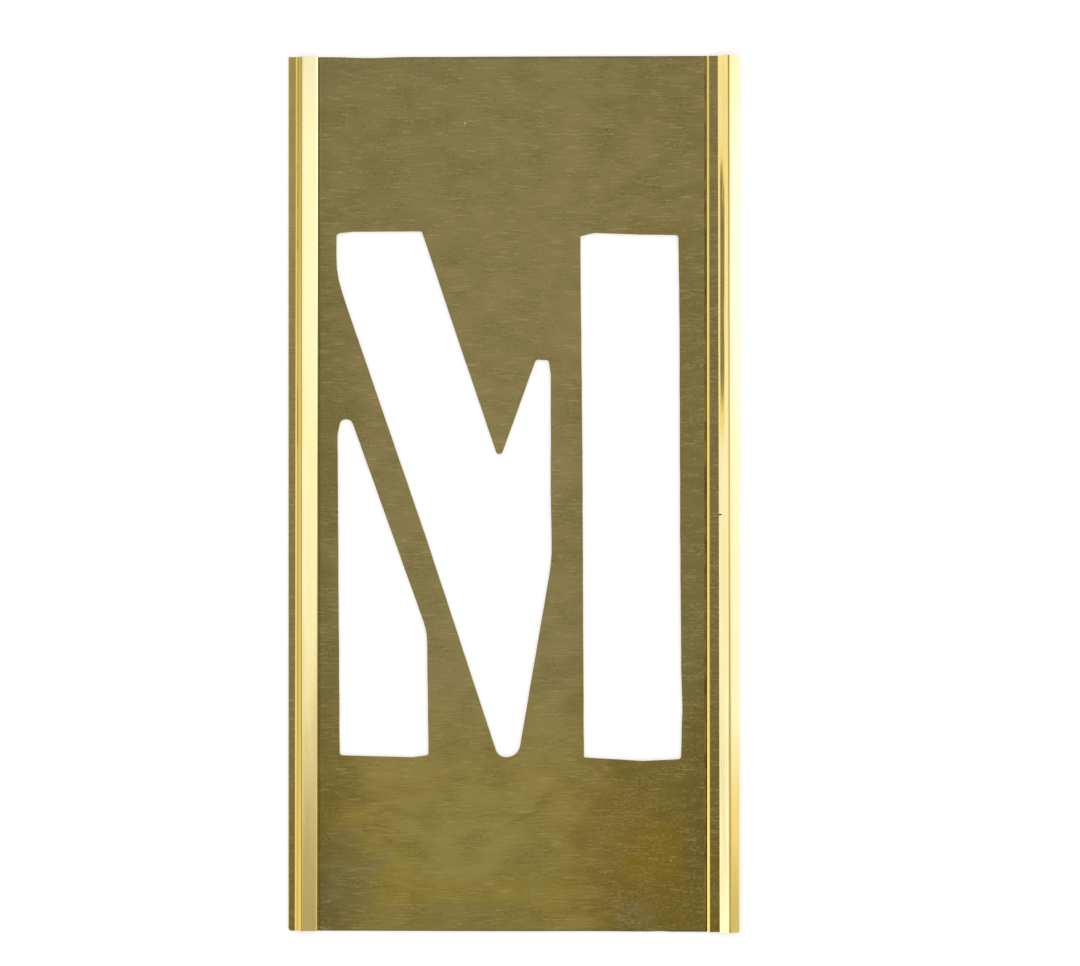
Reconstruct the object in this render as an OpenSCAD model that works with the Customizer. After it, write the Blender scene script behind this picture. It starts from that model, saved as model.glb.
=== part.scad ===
// Interlocking brass lettering stencil with the capital letter M.
// The plate lies flat: +Z is the front face, +Y is the top of the letter and X is its width.
// The origin is the middle of the underside. Every size is in millimetres.

/* [Letter] */
// Height of the letter
letter_h = 76.2; // [50:0.1:102]
// Bare plate above and below the letter
margin_y = 25.4; // [15:0.1:40]
// Bare plate between the letter and the plate's left edge
margin_l = 2.45; // [2.3:0.05:10]
// Bare plate between the letter and the plate's right edge
margin_r = 3.25; // [3.2:0.05:10]

/* [Plate] */
// Thickness of the lettered plate
plate_t = 0.25; // [0.2:0.01:0.3]
// How much longer the right edge was sheared than the left edge
shear_taper = 0.4; // [0:0.05:1]
// Radius of the lower corner of the left rail, dubbed so that it starts easily
nose_corner_r = 0.45; // [0.1:0.05:0.8]
// Radius of the other outer corners
outer_corner_r = 0.15; // [0.05:0.05:0.5]

/* [Rails] */
// Thickness of the rail strips
strip_t = 0.2; // [0.15:0.01:0.22]
// Running clearance between two mated stencils
slide_gap = 0.05; // [0.02:0.01:0.08]
// Bend radius at the middle of the strip
bend_r = 0.12; // [0.11:0.01:0.15]
// Width of each soldered lap behind the plate
lap_w = 1.6; // [1:0.1:2]

/* [Left rail] */
// Width of the flat nose
nose_w = 1.18; // [1.1:0.01:1.3]
// Plan width of the steep flank
hook_flank_w = 0.74; // [0.7:0.01:0.8]
// Plan width of the lip from its crest to its free edge
hook_lip_w = 2.28; // [1.8:0.01:2.31]
// Plan width of the lip's free edge, which is turned down a little more
hook_foot_w = 0.22; // [0.2:0.01:0.4]
// How far the turned edge drops
hook_foot_drop = 0.07; // [0.05:0.01:0.12]
// Height of the lip's crest over the nose
hook_rise = 0.61; // [0.5:0.01:0.62]
// Width of the open slot between the lip and the plate
hook_slot_w = 0.34; // [0.31:0.01:0.6]

/* [Right rail] */
// Distance from the plate's right edge to the foot of the joggle
joggle_start = 0.08; // [0.05:0.01:0.15]
// Plan width of the joggle
joggle_w = 0.46; // [0.42:0.01:0.5]
// Plan width of the flat floor
floor_w = 1.24; // [1.15:0.01:1.35]
// Plan width of the gable's inner flank
gable_flank_w = 1.71; // [1.6:0.01:1.8]
// Plan width of the gable's outer flank
gable_outer_w = 1.58; // [1.5:0.01:1.7]
// Height of the gable's crest over the floor
gable_rise = 1.48; // [1.4:0.01:1.6]
// Height of the upright outer wall over the hidden lip
outer_wall_h = 0.6; // [0.5:0.01:0.8]
// Width of the hidden lip under the gable
under_lip_w = 1.9; // [1.2:0.1:2.0]

/* [Hidden] */

// Brass of the plate, brass of the rubbed rails, and solder
plate_colour = [0.50, 0.44, 0.24];
rail_colour = [0.80, 0.72, 0.42];
solder_colour = [0.42, 0.38, 0.30];

// The outlines below are drawn for a letter of this height and width
drawn_h = 76.2;
drawn_w = 50.15;
letter_k = letter_h / drawn_h;

// Heights: the strips' legs lie on the ground and the plate lies on the legs
strip_mid = strip_t / 2;
plate_z = strip_t;
plate_top = plate_z + plate_t;

// The left strip folds back over itself to make the nose
fold_r = strip_mid + 0.01;
nose_mid = strip_mid + 2 * fold_r;
nose_top = nose_mid + strip_mid;

// The right strip clears the neighbour's nose, and its hidden lip clears the neighbour's leg
floor_mid = nose_top + slide_gap + strip_mid;
under_lip_mid = strip_t + slide_gap + strip_mid;
hook_edge_mid = under_lip_mid + strip_t + slide_gap;

// Places across the width, from the outer left edge to the outer right edge
left_rail_w = nose_w + hook_flank_w + hook_lip_w + hook_slot_w;
right_rail_w = joggle_start + joggle_w + floor_w + gable_flank_w + gable_outer_w;
plate_w = margin_l + drawn_w * letter_k + margin_r;
overall_w = left_rail_w + plate_w + right_rail_w;
left_x = -overall_w / 2;
plate_l = left_x + left_rail_w;
letter_l = plate_l + margin_l;
plate_r = plate_l + plate_w;
right_x = overall_w / 2;

nose_end = left_x + nose_w;
hook_crest_x = nose_end + hook_flank_w;
hook_edge_x = hook_crest_x + hook_lip_w;
left_leg_end = plate_l + lap_w;

joggle_foot = plate_r + joggle_start;
joggle_top = joggle_foot + joggle_w;
floor_end = joggle_top + floor_w;
gable_crest_x = floor_end + gable_flank_w;
outer_wall_mid = right_x - strip_mid;
right_leg_end = plate_r - lap_w;

// Heights of the plate's two ends after shearing
plate_h = letter_h + 2 * margin_y;
left_h = plate_h - shear_taper / 2;
right_h = plate_h + shear_taper / 2;
// Length of the raw strips before the ends are sheared
raw_h = right_h + 4;
// Depth of the shearing cut
shear_z = 4;

// Each solder bead is this wide and stands this far below the faces beside it
bead_w = 0.3;
bead_relief = 0.02;

// The same vector, one unit long
function unit(v) = v / norm(v);
// Vector turned by an angle
function turned(v, a) = [v.x * cos(a) - v.y * sin(a), v.x * sin(a) + v.y * cos(a)];
// Angle from direction a to direction b, positive to the left
function turn_at(a, b) = atan2(a.x * b.y - a.y * b.x, a.x * b.x + a.y * b.y);
// Steps in an arc that turns by this angle, one for every ten degrees and never under three
function arc_steps(turn) = max(3, ceil(abs(turn) / 10));

// Arc that replaces the corner at b, moved sideways by d to the left of the way along it
function bend_points(a, b, c, r, d) =
    let (
        u = unit(b - a),
        v = unit(c - b),
        turn = turn_at(u, v),
        side = turn > 0 ? 1 : -1,
        start = b - u * r * tan(abs(turn) / 2),
        spoke = -side * [-u.y, u.x],
        centre = start - spoke * r,
        n = arc_steps(turn)
    )
    [for (i = [0 : n]) centre + turned(spoke, turn * i / n) * (r - side * d)];

// Point beside p, at d to the left of a way that runs from a to b
function beside(p, a, b, d) =
    let (u = unit(b - a))
    p + [-u.y, u.x] * d;

// One face of the bend at corner i of a strip's path
function bend_face(path, radii, i, d) = bend_points(path[i - 1], path[i], path[i + 1], radii[i - 1], d);

// One face of a stretch of strip, from the start of the bend at corner a to the start of the bend at corner b.
// Corners 0 and the last one are the strip's ends.
function stretch_face(path, radii, a, b, d) =
    let (last = len(path) - 1)
    concat(
        a == 0 ? [beside(path[0], path[0], path[1], d)] : [],
        [for (i = [max(a, 1) : 1 : b - 1]) each bend_face(path, radii, i, d)],
        b == last
            ? [beside(path[last], path[last - 1], path[last], d)]
            : [bend_face(path, radii, b, d)[0]]
    );

// Outline of a stretch of strip
function stretch_outline(path, radii, a, b) =
    let (
        left = stretch_face(path, radii, a, b, strip_t / 2),
        right = stretch_face(path, radii, a, b, -strip_t / 2)
    )
    concat(left, [for (i = [len(right) - 1 : -1 : 0]) right[i]]);

// Closed outline whose corners are [x, y, radius], where a radius of 0 leaves the corner sharp
function rounded_outline(corners) =
    let (n = len(corners))
    [for (i = [0 : n - 1])
        let (
            a = corners[(i + n - 1) % n],
            b = corners[i],
            c = corners[(i + 1) % n]
        )
        each (b[2] > 0
            ? bend_points([a.x, a.y], [b.x, b.y], [c.x, c.y], b[2], 0)
            : [[b.x, b.y]])];

// Corners of the broad stroke that runs down to the point of the letter and up to its notch
broad_stroke = [
    [0.02, 37.55, 0.15],
    [0.45, 37.85, 0.30],
    [2.40, 38.04, 3],
    [12.38, 38.10, 0.30],
    [17.08, 24.00, 0],
    [23.62, 4.68, 0.53],
    [28.95, 19.48, 0.50],
    [30.80, 19.38, 0.35],
    [31.10, 17.20, 4],
    [31.10, 0.60, 0],
    [31.26, -9.50, 26],
    [26.36, -38.20, 1.90],
    [23.48, -38.20, 1.50],
    [13.30, -7.20, 0],
    [-0.05, 31.75, 17],
];

// Corners of the lower left stem, which tapers to a point beside the broad stroke
left_stem = [
    [0.16, 8.60, 3],
    [0.60, 10.80, 0.80],
    [2.13, 10.82, 0.95],
    [13.11, -19.92, 8.3],
    [13.34, -37.93, 0.35],
    [11.00, -38.22, 0],
    [0.47, -37.95, 0.45],
];

// Corners of the right stem
right_stem = [
    [35.40, 37.40, 0.25],
    [37.40, 37.86, 2.5],
    [44.00, 37.64, 0],
    [49.62, 37.58, 0.42],
    [49.78, 26.00, 0],
    [49.88, -5.17, 0],
    [50.03, -25.00, 0],
    [50.20, -31.50, 0],
    [50.00, -38.50, 0.40],
    [44.50, -38.78, 0],
    [35.92, -38.25, 0.20],
    [35.80, -15.34, 0],
    [35.72, 4.00, 0],
];

// One opening of the letter, cut through the plate
module letter_opening(corners) {
    translate([letter_l, 0, plate_z - 1])
        linear_extrude(height = plate_t + 2)
            scale([letter_k, letter_k])
                polygon(rounded_outline(corners));
}

// Outline that all the pieces were sheared to after they were joined
module sheared_block() {
    translate([0, 0, -shear_z / 4])
        linear_extrude(height = shear_z)
            polygon(rounded_outline([
                [left_x, -left_h / 2, nose_corner_r],
                [right_x, -right_h / 2, outer_corner_r],
                [right_x, right_h / 2, outer_corner_r],
                [left_x, left_h / 2, outer_corner_r],
            ]));
}

// A profile drawn in X and Z, run along the plate's height and sheared at both ends
module run_along_plate(profile) {
    intersection() {
        rotate([90, 0, 0])
            linear_extrude(height = raw_h, center = true)
                polygon(profile);
        sheared_block();
    }
}

// Flat plate with the three openings that make the letter
module stencil_plate() {
    color(plate_colour)
        difference() {
            run_along_plate([
                [plate_l, plate_z],
                [plate_r, plate_z],
                [plate_r, plate_top],
                [plate_l, plate_top],
            ]);
            letter_opening(broad_stroke);
            letter_opening(left_stem);
            letter_opening(right_stem);
        }
}

// Left strip: leg behind the plate, tight fold, flat nose, steep flank and a lip that opens to the right
hook_path = [
    [left_leg_end, strip_mid],
    [left_x + strip_mid, strip_mid],
    [left_x + strip_mid, nose_mid],
    [nose_end, nose_mid],
    [hook_crest_x, nose_mid + hook_rise],
    [hook_edge_x - hook_foot_w, hook_edge_mid + hook_foot_drop],
    [hook_edge_x, hook_edge_mid],
];
hook_radii = [fold_r, fold_r, bend_r, bend_r, bend_r];

// A stretch of the left strip. The stretches meet face to face where the bends start.
module hook_stretch(a, b) {
    color(rail_colour)
        run_along_plate(stretch_outline(hook_path, hook_radii, a, b));
}

module left_rail_leg() {
    hook_stretch(0, 1);
}

module left_rail_nose() {
    hook_stretch(1, 3);
}

module left_rail_flank() {
    hook_stretch(3, 4);
}

module left_rail_lip() {
    hook_stretch(4, 6);
}

// Right strip: leg behind the plate, joggle, flat floor, hollow gable and a hidden lip that opens to the left
gable_path = [
    [right_leg_end, strip_mid],
    [joggle_foot, strip_mid],
    [joggle_top, floor_mid],
    [floor_end, floor_mid],
    [gable_crest_x, floor_mid + gable_rise],
    [outer_wall_mid, under_lip_mid + outer_wall_h],
    [outer_wall_mid, under_lip_mid],
    [right_x - under_lip_w, under_lip_mid],
];
gable_radii = [bend_r, bend_r, bend_r, bend_r, bend_r, bend_r];

// A stretch of the right strip. The stretches meet face to face where the bends start.
module gable_stretch(a, b) {
    color(rail_colour)
        run_along_plate(stretch_outline(gable_path, gable_radii, a, b));
}

module right_rail_leg() {
    gable_stretch(0, 1);
}

module right_rail_joggle() {
    gable_stretch(1, 2);
}

module right_rail_floor() {
    gable_stretch(2, 3);
}

module right_gable_inner_flank() {
    gable_stretch(3, 4);
}

module right_gable_outer_flank() {
    gable_stretch(4, 5);
}

module right_rail_outer_wall() {
    gable_stretch(5, 6);
}

module right_rail_under_lip() {
    gable_stretch(6, 7);
}

// Corner bead with a hollow face, from the end of a leg to the back of the plate
function bead_profile(leg_end, side) =
    let (
        h = strip_t - bead_relief,
        centre = [leg_end + side * bead_w, plate_z - h]
    )
    concat(
        [[leg_end, plate_z]],
        [for (a = [0 : 15 : 90]) centre + [-side * bead_w * cos(a), h * sin(a)]]
    );

module left_solder_seam() {
    color(solder_colour)
        run_along_plate(bead_profile(left_leg_end, 1));
}

module right_solder_seam() {
    color(solder_colour)
        run_along_plate(bead_profile(right_leg_end, -1));
}

// Place on the middle line of the joggle at height z
function on_joggle(z) = [joggle_foot + joggle_w * (z - strip_mid) / (floor_mid - strip_mid), z];

// Solder that fills the groove between the plate's right edge and the joggle
module right_front_seam() {
    color(solder_colour)
        difference() {
            run_along_plate([
                [plate_r, plate_z],
                on_joggle(plate_z),
                on_joggle(plate_top - 2 * bead_relief),
                [plate_r, plate_top - bead_relief],
            ]);
            right_rail_joggle();
        }
}

stencil_plate();
left_rail_leg();
left_rail_nose();
left_rail_flank();
left_rail_lip();
right_rail_leg();
right_rail_joggle();
right_rail_floor();
right_gable_inner_flank();
right_gable_outer_flank();
right_rail_outer_wall();
right_rail_under_lip();
left_solder_seam();
right_solder_seam();
right_front_seam();
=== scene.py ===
"""Brass lettering stencil: a thin plate with a cut-out letter M and a slide rail on each long edge."""

import logging
import math
from collections.abc import Sequence
from dataclasses import astuple, dataclass, field, replace
from enum import Enum

import bmesh
import bpy
import numpy as np
from mathutils import Euler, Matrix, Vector, noise
from mathutils.geometry import delaunay_2d_cdt


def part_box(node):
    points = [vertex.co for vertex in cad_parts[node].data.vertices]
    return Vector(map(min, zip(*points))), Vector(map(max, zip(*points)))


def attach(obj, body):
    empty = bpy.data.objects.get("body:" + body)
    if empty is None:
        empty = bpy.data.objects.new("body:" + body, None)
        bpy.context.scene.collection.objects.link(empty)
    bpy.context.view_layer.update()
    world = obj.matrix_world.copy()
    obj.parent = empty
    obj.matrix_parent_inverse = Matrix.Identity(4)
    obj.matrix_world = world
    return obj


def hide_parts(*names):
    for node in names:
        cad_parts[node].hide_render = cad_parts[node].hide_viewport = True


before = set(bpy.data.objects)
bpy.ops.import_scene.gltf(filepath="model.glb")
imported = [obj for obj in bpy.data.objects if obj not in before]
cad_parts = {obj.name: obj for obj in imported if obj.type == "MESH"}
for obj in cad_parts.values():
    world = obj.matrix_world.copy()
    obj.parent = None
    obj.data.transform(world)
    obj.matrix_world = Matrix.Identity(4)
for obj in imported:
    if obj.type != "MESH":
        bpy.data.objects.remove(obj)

LOG = logging.getLogger("stencil")

# One millimetre in the scene's metres
MM = 0.001
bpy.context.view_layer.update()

# Types of node that the finishes use most
MATH, VECTOR, RAMP, MIX = "ShaderNodeMath", "ShaderNodeVectorMath", "ShaderNodeMapRange", "ShaderNodeMix"
SPLIT, JOIN, NOISE = "ShaderNodeSeparateXYZ", "ShaderNodeCombineXYZ", "ShaderNodeTexNoise"
CARRIED = "ShaderNodeAttribute"
SMOOTH = {"interpolation_type": "SMOOTHSTEP"}
# Places of a Mix node's sockets, for colours and for numbers
MIX_FACTOR, MIX_A, MIX_B, MIX_RESULT = 0, 6, 7, 2
NUMBER_A, NUMBER_B = 2, 3
# Octaves of a sweep's wander, and how far apart its two ways read the noise
WANDER_DETAIL, WANDER_SHIFT = 2.0, 31.0

Loop = list[tuple[float, float]]
Range = tuple[float, float]
Colour = tuple[float, float, float, float]
Tree = bpy.types.NodeTree
Socket = bpy.types.NodeSocket
Sockets = bpy.types.NodeOutputs


class Slot(Enum):
    """Names of three material slots."""

    PLATE = "plate_brass"
    RAIL = "rail_brass"
    SOLDER = "solder"


class Weight(Enum):
    """Values that a strip's outline carries along its sweep."""

    # Rubbing of each stretch with its painted highlight and painted shade, at its top, middle and foot
    RUBBED_SHEEN_TOP = "rubbed_sheen_top"
    RUBBED_SHEEN_MIDDLE = "rubbed_sheen_middle"
    RUBBED_SHEEN_FOOT = "rubbed_sheen_foot"
    # How far a stretch is painted a deep gold as shade
    DEEP = "deep"
    GIVE = "give"
    STATION = "station"
    LEAN = "lean"
    TRIM_TOP = "trim_top"
    TRIM_FOOT = "trim_foot"


Carried = dict[Weight, Socket]


def linear(code: str, level: float = 1.0) -> Colour:
    """Turn an sRGB hex colour to linear light.

    Args:
        code: Colour such as "#8a7a40".
        level: How much lighter or darker it is made.

    Returns:
        Red, green, blue and an alpha of one.
    """
    channels = [int(code[i : i + 2], 16) / 255 for i in (1, 3, 5)]
    red, green, blue = (c / 12.92 if c <= 0.04045 else ((c + 0.055) / 1.055) ** 2.4 for c in channels)
    return red * level, green * level, blue * level, 1.0


def add_node(
    tree: Tree, kind: str, inputs: Sequence[object] | dict[str | int, object] = (), **settings: object
) -> Sockets:
    """Add a node with its settings and links.

    Args:
        tree: Tree that the node goes into.
        kind: Type of the node.
        inputs: A socket to link or a value to set for each input, in their order, or by name or place.
        settings: Properties of the node.

    Returns:
        The node's output sockets.
    """
    node = tree.nodes.new(kind)
    for name, value in settings.items():
        setattr(node, name, value)
    given = inputs if isinstance(inputs, dict) else dict(enumerate(inputs))
    for key, value in given.items():
        if isinstance(value, Socket):
            tree.links.new(value, node.inputs[key])
        else:
            node.inputs[key].default_value = value
    return node.outputs


def layered(tree: Tree, base: Socket | Colour, layers: Sequence[tuple[Socket, Socket | Colour]]) -> Socket:
    """Lay colours over a base, one after the other.

    Args:
        tree: Material's tree.
        base: Colour underneath.
        layers: How far each layer covers what is below it, and its colour.

    Returns:
        The colour seen from above.
    """
    for share, colour in layers:
        mixed = {MIX_FACTOR: share, MIX_A: base, MIX_B: colour}
        base = add_node(tree, MIX, mixed, data_type="RGBA")[MIX_RESULT]
    return base


@dataclass(frozen=True)
class Surface:
    """What a finish hands to a metal's shader."""

    colour: Socket
    roughness: Socket
    height: Socket


@dataclass(frozen=True)
class Marks:
    """Uneven marks on the metal.

    Attributes:
        size: Size of a mark along X, Y and Z in millimetres.
        detail: Octaves of finer marks.
        film: How much the marks thicken the film.
    """

    size: tuple[float, float, float]
    detail: float
    film: float = 0.0

    def draw(self, tree: Tree, place: Socket) -> Socket:
        """Draw the marks as a value from 0 to 1, at coordinates in millimetres."""
        scaled = add_node(tree, VECTOR, (place, self.size), operation="DIVIDE")[0]
        return add_node(tree, NOISE, {"Vector": scaled, "Scale": 1.0, "Detail": self.detail})["Fac"]


@dataclass(frozen=True)
class Flecks:
    """Small flecks on the film, which crowd together in patches.

    Attributes:
        shows: Values of fine marks between which the flecks appear.
        crowds: Values of coarse marks between which the patches appear.
        share: How far a fleck covers the film.
    """

    shows: Range
    crowds: Range
    share: float

    def cover(self, tree: Tree, fine: Socket, coarse: Socket) -> Socket:
        """Draw how far the flecks cover the film.

        Args:
            tree: Material's tree.
            fine: Marks that show as flecks.
            coarse: Marks that crowd them.

        Returns:
            The flecks' share in their middle, and 0 between them.
        """
        flecks = add_node(tree, RAMP, (fine, *self.shows, 0.0, self.share), **SMOOTH)[0]
        patches = add_node(tree, RAMP, (coarse, *self.crowds), **SMOOTH)[0]
        return add_node(tree, MATH, (flecks, patches), operation="MULTIPLY")[0]


@dataclass(frozen=True)
class Spot:
    """A place where the film has another colour: its middle and half sizes in millimetres."""

    x: float
    y: float
    half_x: float
    half_y: float
    colour: str
    share: float
    # How far the spot's edge frays, as a share of its size
    fray: float = 0.9

    def cover(self, tree: Tree, axes: Sockets, frayed: Socket) -> Socket:
        """Draw how far the spot covers the film.

        Args:
            tree: Material's tree.
            axes: Coordinates in millimetres.
            frayed: Marks that fray the edge.

        Returns:
            The spot's share in its middle, and 0 outside it.
        """
        squares = []
        for axis, middle, half in (("X", self.x, self.half_x), ("Y", self.y, self.half_y)):
            off = add_node(tree, MATH, (axes[axis], middle), operation="SUBTRACT")[0]
            off = add_node(tree, MATH, (off, half), operation="DIVIDE")[0]
            squares.append(add_node(tree, MATH, (off, off), operation="MULTIPLY")[0])
        away = add_node(tree, MATH, squares, operation="ADD")[0]
        away = add_node(tree, MATH, (frayed, 2 * self.fray, away), operation="MULTIPLY_ADD")[0]
        return add_node(tree, RAMP, (away, self.fray, self.fray + 1, self.share, 0.0), **SMOOTH)[0]


@dataclass(frozen=True)
class Tarnish:
    """Cold-rolled brass sheet, left to tarnish: olive, with faint short streaks across the width."""

    thin_film: str = "#8e8052"
    thick_film: str = "#7b6e3f"
    # Both turn yellower towards the foot of the plate, from this height down to that one
    thin_yellow: str = "#9a8941"
    thick_yellow: str = "#7a682a"
    yellow_from: float = -20.0
    yellow_to: float = -52.0
    # Rolling marks in the photograph are 2 to 5 mm long and about a fifth of a millimetre high
    streak: Marks = Marks((2.4, 0.24, 2.4), 2.0, -0.5)
    grain: Marks = Marks((0.5, 0.2, 0.5), 2.0, 0.8)
    mottle: Marks = Marks((3.6, 1.1, 3.6), 3.0, 0.55)
    blotch: Marks = Marks((5.5, 3.5, 5.5), 5.0, 0.9)
    patch: Marks = Marks((22.0, 13.0, 22.0), 4.0, 0.55)
    # Marks and the darker sides add up to a film that turns from thin to thick between these values
    film_turns: Range = (0.95, 1.75)
    # The film thickens from this line out to both sides, and the line lies left of the middle, so the right
    # side darkens more
    sides_middle: float = -7.0
    sides_from: float = 12.0
    sides_to: float = 27.0
    sides_share: float = 0.8
    # It thickens less between these heights, and above them only by this share
    sides_less: Range = (15.0, 45.0)
    sides_top: float = 0.3
    pit: str = "#5a5130"
    pits: Flecks = Flecks((0.5, 0.3), (0.35, 0.65), 0.4)
    # Painted highlights: streaks and grain painted lighter in the colour, as glints and speckle
    glint: str = "#b5a470"
    glints: Flecks = Flecks((0.5, 0.72), (0.38, 0.6), 0.3)
    speckle_highlight: Flecks = Flecks((0.45, 0.72), (0.3, 0.6), 0.3)
    rough_marks: Range = (0.35, 0.65)
    roughness: Range = (0.36, 0.44)
    streak_relief: float = 0.5
    spots: tuple[Spot, ...] = ()
    # A spot's colour is this much lighter on a thin film and darker on a thick one
    spot_on_thin: float = 1.12
    spot_on_thick: float = 0.84

    def darker_sides(self, tree: Tree, axes: Sockets) -> Socket:
        """Draw how much the film thickens towards the sides.

        Args:
            tree: Material's tree.
            axes: Coordinates in millimetres.

        Returns:
            What it adds to the film.
        """
        off = add_node(tree, MATH, (axes["X"], self.sides_middle), operation="SUBTRACT")[0]
        off = add_node(tree, MATH, (off,), operation="ABSOLUTE")[0]
        aside = add_node(tree, RAMP, (off, self.sides_from, self.sides_to, 0.0, self.sides_share), **SMOOTH)[0]
        below = add_node(tree, RAMP, (axes["Y"], *self.sides_less, 1.0, self.sides_top), **SMOOTH)[0]
        return add_node(tree, MATH, (aside, below), operation="MULTIPLY")[0]

    def film_colour(self, tree: Tree, axes: Sockets, film: Socket, frayed: Socket) -> Socket:
        """Draw the film's colour with its spots.

        Args:
            tree: Material's tree.
            axes: Coordinates in millimetres.
            film: Thickness of the film.
            frayed: Marks that fray the spots' edges.

        Returns:
            The colour of a film that is thin in some places and thick in others.
        """
        low_part = add_node(tree, RAMP, (axes["Y"], self.yellow_to, self.yellow_from, 1.0, 0.0), **SMOOTH)[0]
        thick_share = add_node(tree, RAMP, (film, *self.film_turns), **SMOOTH)[0]
        covers = [(spot, spot.cover(tree, axes, frayed)) for spot in self.spots]
        films = (
            (self.thin_film, self.thin_yellow, self.spot_on_thin),
            (self.thick_film, self.thick_yellow, self.spot_on_thick),
        )
        ends = []
        for above, below, level in films:
            spots = [(cover, linear(spot.colour, level)) for spot, cover in covers]
            ends.append(layered(tree, linear(above), [(low_part, linear(below)), *spots]))
        thin, thick = ends
        return layered(tree, thin, [(thick_share, thick)])

    def pattern(self, tree: Tree, place: Socket) -> Surface:
        """Draw the film on the sheet.

        Args:
            tree: Material's tree.
            place: Coordinates in millimetres.

        Returns:
            Colour, roughness and height of the tarnished sheet.
        """
        axes = add_node(tree, SPLIT, (place,))
        kinds = (self.blotch, self.patch, self.mottle, self.grain, self.streak)
        drawn = [marks.draw(tree, place) for marks in kinds]
        blotch, _, mottle, grain, streak = drawn
        film = self.darker_sides(tree, axes)
        for marks, value in zip(kinds, drawn):
            film = add_node(tree, MATH, (value, marks.film, film), operation="MULTIPLY_ADD")[0]
        # Painted highlights: glints on the streaks and speckle on the grain lighten the colour itself
        glints = self.glints.cover(tree, streak, mottle)
        speckle_highlight = self.speckle_highlight.cover(tree, grain, mottle)
        painted_shine = add_node(tree, MATH, (glints, speckle_highlight), operation="ADD")[0]
        pits = self.pits.cover(tree, grain, blotch)
        marked = [(pits, linear(self.pit)), (painted_shine, linear(self.glint))]
        colour = layered(tree, self.film_colour(tree, axes, film, blotch), marked)
        rough = add_node(tree, RAMP, (grain, *self.rough_marks, *self.roughness), **SMOOTH)[0]
        height = add_node(tree, MATH, (streak, self.streak_relief, grain), operation="MULTIPLY_ADD")[0]
        return Surface(colour, rough, height)


@dataclass(frozen=True)
class SheetFinish:
    """Rolled brass plate: the tarnish film with a few spots, and bare metal only on the cut edges, with a
    painted highlight and painted shade that depend on where each edge looks.
    """

    tarnish: Tarnish = Tarnish(
        spots=(
            Spot(-6.0, -50.0, 15.0, 8.0, "#8e864a", 0.5),
            Spot(3.0, -54.0, 5.0, 6.0, "#80743a", 0.5),
            Spot(15.0, -51.0, 9.0, 11.0, "#978040", 0.55),
            Spot(20.0, -52.0, 6.0, 6.5, "#917726", 0.7),
            Spot(-6.0, -61.5, 17.0, 3.5, "#7a6e42", 0.45),
            Spot(17.5, -61.0, 4.5, 3.0, "#927f4c", 0.6),
            Spot(28.0, -44.0, 4.5, 24.0, "#746530", 0.6),
            Spot(-26.0, -57.0, 9.0, 10.0, "#736744", 0.6),
            Spot(-17.5, 50.0, 8.0, 15.0, "#837647", 0.5),
            # Painted highlight: the plate's left edge near the top is painted lighter, as the bright lip's
            # reflection over the shade of the slot under it
            Spot(-28.4, 52.0, 0.5, 26.0, "#b9a35a", 0.5, 0.1),
            # Dull lines along the two ends
            Spot(0.0, 63.5, 60.0, 0.5, "#6e654a", 0.6, 0.3),
            Spot(0.0, -63.5, 60.0, 0.5, "#6e654a", 0.6, 0.3),
            # A smudge and two bright specks
            Spot(3.9, 20.0, 0.25, 0.5, "#5f5430", 0.6),
            Spot(-7.1, 53.8, 0.16, 0.16, "#e6dca4", 0.8, 0.1),
            Spot(22.8, -53.2, 0.14, 0.14, "#e6dca4", 0.8, 0.1),
        )
    )
    cut_metal_and_highlight: str = "#efe0a0"
    metallic: float = 1.0
    bump_mm: float = 0.004

    def surface(self, tree: Tree, place: Socket) -> Surface:
        """Lay the film over the plate and keep the cut edges bare, with their painted highlight and painted
        shade.

        Args:
            tree: Material's tree.
            place: Coordinates in millimetres.

        Returns:
            Colour, roughness and height of the plate.
        """
        film = self.tarnish.pattern(tree, place)
        # The cut edges' bare metal, with a painted highlight on those that look to the right and painted
        # shade on those that look to the foot
        cut = add_node(tree, CARRIED, attribute_name="cut_edge_and_highlight")["Fac"]
        return replace(film, colour=layered(tree, film.colour, [(cut, linear(self.cut_metal_and_highlight))]))


@dataclass(frozen=True)
class Stain:
    """A dull stripe on a flank: its middle and half width across, and its two ends, in millimetres."""

    x: float
    half_width: float
    foot: float
    top: float
    strength: float
    # Its middle is dull over this share of its width, and its ends fade over these lengths
    full_share: float = 0.3
    foot_fade: float = 18.0
    top_fade: float = 8.0
    # Smears break it up between these values
    broken: Range = (0.15, 0.5)

    def left_bright(self, tree: Tree, axes: Sockets, smears: Socket) -> Socket:
        """Draw how bright the stain leaves the metal.

        Args:
            tree: Material's tree.
            axes: Coordinates in millimetres.
            smears: Uneven rubbing, from 0 to 1.

        Returns:
            1 beside the stain, and less inside it.
        """
        off = add_node(tree, MATH, (axes["X"], self.x), operation="SUBTRACT")[0]
        off = add_node(tree, MATH, (off,), operation="ABSOLUTE")[0]
        limits = (
            (off, self.half_width, self.full_share * self.half_width),
            (smears, *self.broken),
            (axes["Y"], self.foot, self.foot + self.foot_fade),
            (axes["Y"], self.top, self.top - self.top_fade),
        )
        share: Socket | float = 1.0
        for limit in limits:
            inside = add_node(tree, RAMP, limit, **SMOOTH)[0]
            share = add_node(tree, MATH, (share, inside), operation="MULTIPLY")[0]
        return add_node(tree, RAMP, (share, 0.0, 1.0, 1.0, 1.0 - self.strength), **SMOOTH)[0]


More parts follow.
